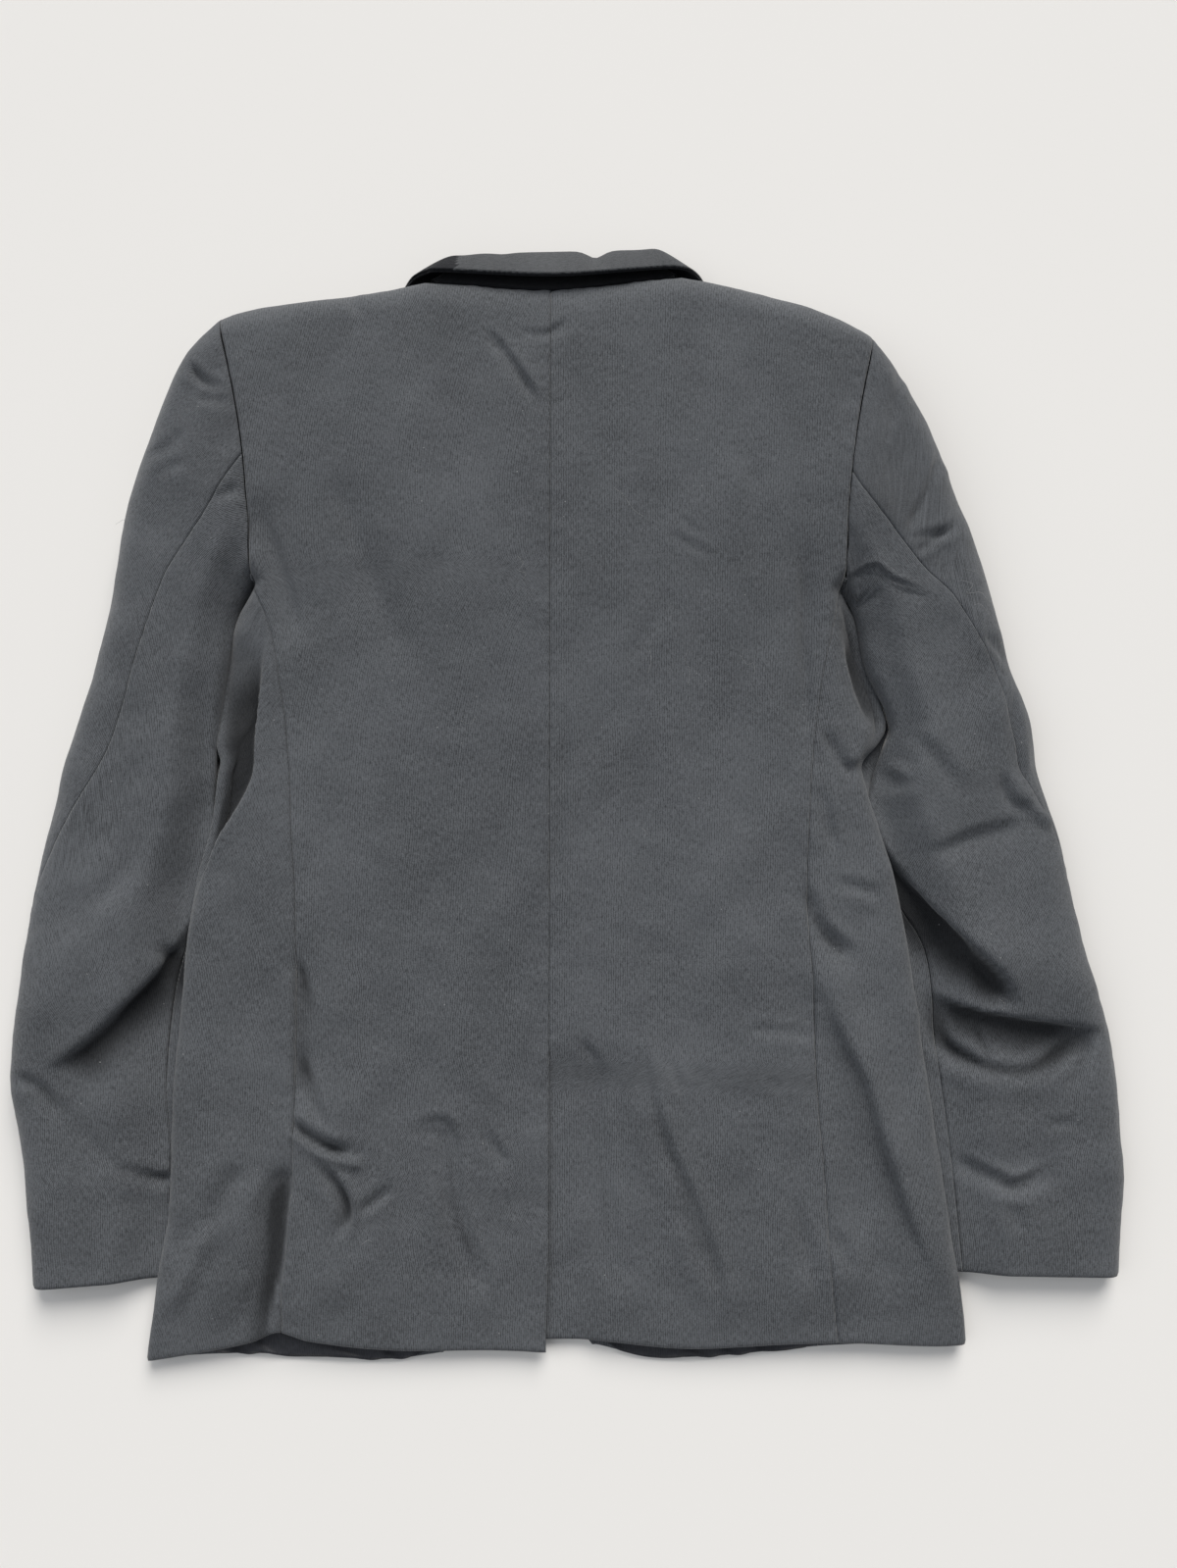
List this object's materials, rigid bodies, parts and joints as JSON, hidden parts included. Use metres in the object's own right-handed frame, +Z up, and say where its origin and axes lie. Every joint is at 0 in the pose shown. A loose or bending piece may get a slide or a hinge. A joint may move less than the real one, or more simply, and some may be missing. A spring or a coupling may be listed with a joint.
{
  "type": "blazer",
  "caption": "Tailored blazer lying face down on a flat surface, buttoned, with its sleeves beside it and a vent at the centre back.",
  "frame": {"origin": "middle of the bounding box, on the surface that the blazer lies on", "axes": "+Z up out of the back, +Y towards the collar, +X towards the sleeve at the picture's right"},
  "size_m": [0.7308, 0.754, 0.0426],
  "materials": {
    "cloth": "matte",
    "felt": "matte",
    "lining": "satin",
    "button": "satin"
  },
  "bodies": {
    "root": {"back_left": "cloth", "back_right": "cloth", "side_left": "cloth", "side_right": "cloth", "front_left": "cloth", "front_right": "cloth", "lapel_left": "cloth", "lapel_right": "cloth", "top_sleeve_left": "cloth", "top_sleeve_right": "cloth", "under_sleeve_left": "cloth", "under_sleeve_right": "cloth", "upper_collar": "cloth", "under_collar": "felt", "lining_left": "lining", "lining_right": "lining", "button_upper": "button", "button_lower": "button"}
  },
  "joints": []
}
